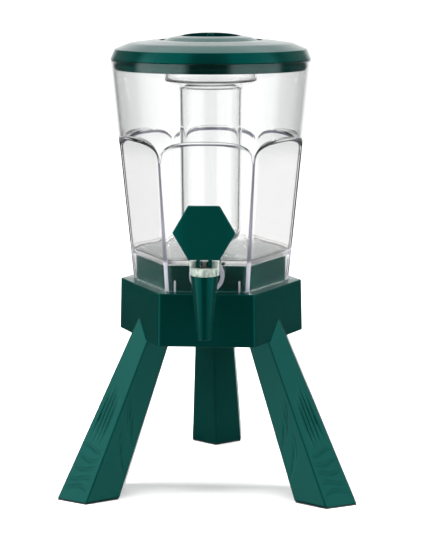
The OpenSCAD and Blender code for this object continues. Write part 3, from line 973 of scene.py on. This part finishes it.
def make_spring():
    """The return spring, drawn at one length. It rides with the stem, and its top rests on the bonnet."""
    wire, coil, turns, stem_rise = 0.5, 5.5, 4.5, 3.1
    low, high = spring_low.z + wire, spring_high.z - wire
    steps, sides = 126, 10
    bm = bmesh.new()
    rings = []
    for i in range(steps + 1):
        turn = 2 * math.pi * turns * i / steps
        rise = low + (high - low) * i / steps
        ring = []
        for swing in evenly(sides):
            r = coil + wire * math.cos(swing)
            place = (r * math.cos(turn), r * math.sin(turn), rise + wire * math.sin(swing))
            ring.append(bm.verts.new(place))
        rings.append(ring)
    stitch(bm, rings)
    spring = add_piece(finish_mesh("spring_coil", at_tap(bm)), "stem", STEEL, "valve_spring")
    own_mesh(spring)


def heel_outline(drop):
    """The arm's heel round its pin: an involute, which lifts the stem evenly as the lever tilts."""
    full_tilt, step = 42, 6
    points = []
    for degrees in range(0, full_tilt + 1, step):
        t = math.radians(degrees)
        h = drop + LIFT_RATE * t
        points.append((-h * math.sin(t) - LIFT_RATE * math.cos(t),
                       -h * math.cos(t) + LIFT_RATE * math.sin(t)))
    return points


def make_lever():
    """The six-sided paddle and the two arms of its fork."""
    front, thick, radius, centre = lever_low.y, 4.0, 26.7, 249.5
    outline = [(radius * math.cos(a), centre + radius * math.sin(a)) for a in evenly(6)]
    paddle = extruded(outline, "y", front, front + thick)
    bevel(paddle, 0.7, 3, 30)
    add_piece(finish_mesh("lever_paddle", paddle, 30), "lever", PADDLE_GREEN, "tap_lever")
    pin_z = (pin_low.z + pin_high.z) / 2
    drop = pin_z - BONNET_TOP - 0.1
    arm = [(3.2, -drop), *heel_outline(drop), (-7.6, 0.6), (-7, 8), (-7, 32), (-4.8, 32), (-2, 10),
           (3.2, 3)]
    arm_in = 3.6
    for side, name in ((-1, "left"), (1, "right")):
        near, far = sorted((side * arm_in, side * ARM_OUT))
        bm = extruded([(TAP_Y + a, pin_z + b) for a, b in arm], "x", near, far)
        bevel(bm, 0.3, 2, 40)
        add_piece(finish_mesh("lever_arm_" + name, bm), "lever", PADDLE_GREEN)


def dress_cad():
    """Materials for the CAD nodes that keep their own shape."""
    legs = ("back", "front_left", "front_right")
    looks = {
        RUBBER: ["foot_" + leg for leg in legs] + ["tap_inner_washer", "valve_plug"],
        STEEL: ["leg_screw_" + leg for leg in legs]
        + ["plate_screw_" + place for place in ("left", "right", "front")] + ["lever_pin"],
        SILVER: ["valve_stem"],
        SILICONE: ["cap_seal"],
        FROSTED: ["tap_outer_washer"],
        GREEN: ["tap_nut", "base_bottom_plate", "lid_seal"],
    }
    for material, names in looks.items():
        for name in names:
            dress_node(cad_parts[name], material)


def dress_node(node, material):
    if not node.material_slots:
        node.data.materials.append(material)
    for place in node.material_slots:
        place.link = "OBJECT"
        place.material = material


# ------------------------------------------------------------------ stage, light and camera

def make_stage():
    """A plain pale floor, which doesn't show in reflections or through clear pieces."""
    bm = bmesh.new()
    bmesh.ops.create_grid(bm, x_segments=1, y_segments=1, size=60.0)
    mesh = bpy.data.meshes.new("floor")
    bm.to_mesh(mesh)
    bm.free()
    floor = bpy.data.objects.new("floor", mesh)
    bpy.context.collection.objects.link(floor)
    floor.data.materials.append(shader("floor", (0.93, 0.93, 0.93), 0.9)[0])
    floor.visible_glossy = False
    floor.visible_transmission = False


def make_world():
    """A dark studio with white panels to the left and right in front, grey walls at the sides, a
    white wall behind and a white ceiling. It is plain white to the camera, and nearly so to rays
    that reach it through clear pieces without a mirror reflection."""
    world = bpy.data.worlds.new("studio")
    bpy.context.scene.world = world
    world.use_nodes = True
    tree = world.node_tree
    background = tree.nodes["Background"]
    place = tree.nodes.new("ShaderNodeTexCoord")
    split = tree.nodes.new("ShaderNodeSeparateXYZ")
    tree.links.new(place.outputs["Generated"], split.inputs["Vector"])
    x, y, z = (split.outputs[axis] for axis in "XYZ")
    level_length = math_node(tree, "SQRT", minus(tree, 1.01, product(tree, z, z)))
    # 1 straight in front, 0 at the sides, -1 straight behind
    forward = math_node(tree, "DIVIDE", product(tree, y, -1), level_length)
    backward = product(tree, forward, -1)

    panel_sides = product(tree, soft_step(tree, forward, -0.15, 0.15),
                          minus(tree, 1, soft_step(tree, forward, 0.84, 0.95)))
    panel_rows = total(tree, soft_step(tree, z, -0.6, -0.3, 1.3), soft_step(tree, z, -0.05, 0.25, 0.65))
    panel_rows = minus(tree, panel_rows, soft_step(tree, z, 0.42, 0.58, 0.8))
    to_left = minus(tree, 1, product(tree, x, 0.18))
    panels = product(tree, panel_sides, product(tree, panel_rows, to_left))

    wall_rows = total(tree, soft_step(tree, z, -0.05, 0.15, 0.27), 0.08)
    to_right = total(tree, product(tree, x, 0.25), 0.75)
    walls = product(tree, soft_step(tree, backward, 0.1, 0.4), product(tree, wall_rows, to_right))
    behind = soft_step(tree, backward, 0.78, 0.96, 1.2)
    ceiling = soft_step(tree, minus(tree, z, product(tree, forward, 0.15)), 0.55, 0.8, 1.75)

    path = tree.nodes.new("ShaderNodeLightPath")
    no_mirror = math_node(tree, "LESS_THAN", path.outputs["Glossy Depth"], 0.5)
    through = product(tree, path.outputs["Is Transmission Ray"], no_mirror, 0.95)
    level = 0.04
    for part in (panels, walls, behind, ceiling, through, path.outputs["Is Camera Ray"]):
        level = math_node(tree, "MAXIMUM", part, level)
    tree.links.new(level, background.inputs["Strength"])
    background.inputs["Color"].default_value = (1, 1, 1, 1)


def area_light(name, place, power):
    """A tall soft light aimed at the middle of the object."""
    target = Vector((0, 0, 0.2))
    data = bpy.data.lights.new(name, "AREA")
    data.shape = "RECTANGLE"
    data.size, data.size_y = 0.7, 1.3
    data.energy = power
    lamp = bpy.data.objects.new(name, data)
    bpy.context.collection.objects.link(lamp)
    lamp.location = place
    lamp.visible_glossy = False
    lamp.rotation_euler = (target - Vector(place)).to_track_quat("-Z", "Y").to_euler()


def make_lights():
    area_light("left_softbox", (-1.5, -0.2, 1.1), 60)
    area_light("right_softbox", (1.5, -0.2, 1.1), 48)


def make_camera():
    """A long lens in front, a little to the right and above. Lengths are in metres from the jug's
    axis, angles in degrees."""
    distance, height, azimuth, heading, pitch = 1.3421, 0.4567, 3.12, -0.16, 10.90
    data = bpy.data.cameras.new("camera")
    data.sensor_fit = "AUTO"
    data.sensor_width = 36.0
    data.lens = 99.52
    camera = bpy.data.objects.new("camera", data)
    bpy.context.collection.objects.link(camera)
    a = math.radians(azimuth)
    camera.location = AXIS + Vector((distance * math.sin(a), -distance * math.cos(a), height))
    camera.rotation_euler = (math.radians(90 - pitch), 0, a + math.radians(heading))
    data.clip_start, data.clip_end = 0.05, 200
    bpy.context.scene.camera = camera


make_camera()
make_jug()
make_skirt_lines()
make_housing()
for leg_name, leg_azimuth in (("back", 90), ("front_left", 210), ("front_right", 330)):
    make_leg("leg_skin_" + leg_name, leg_azimuth, "leg_" + leg_name)
make_lid()
make_ice_tube()
make_cap()
make_tap()
make_bonnet()
make_spring()
make_lever()
dress_cad()
make_stage()
make_world()
make_lights()
bpy.context.scene.view_settings.view_transform = "Standard"
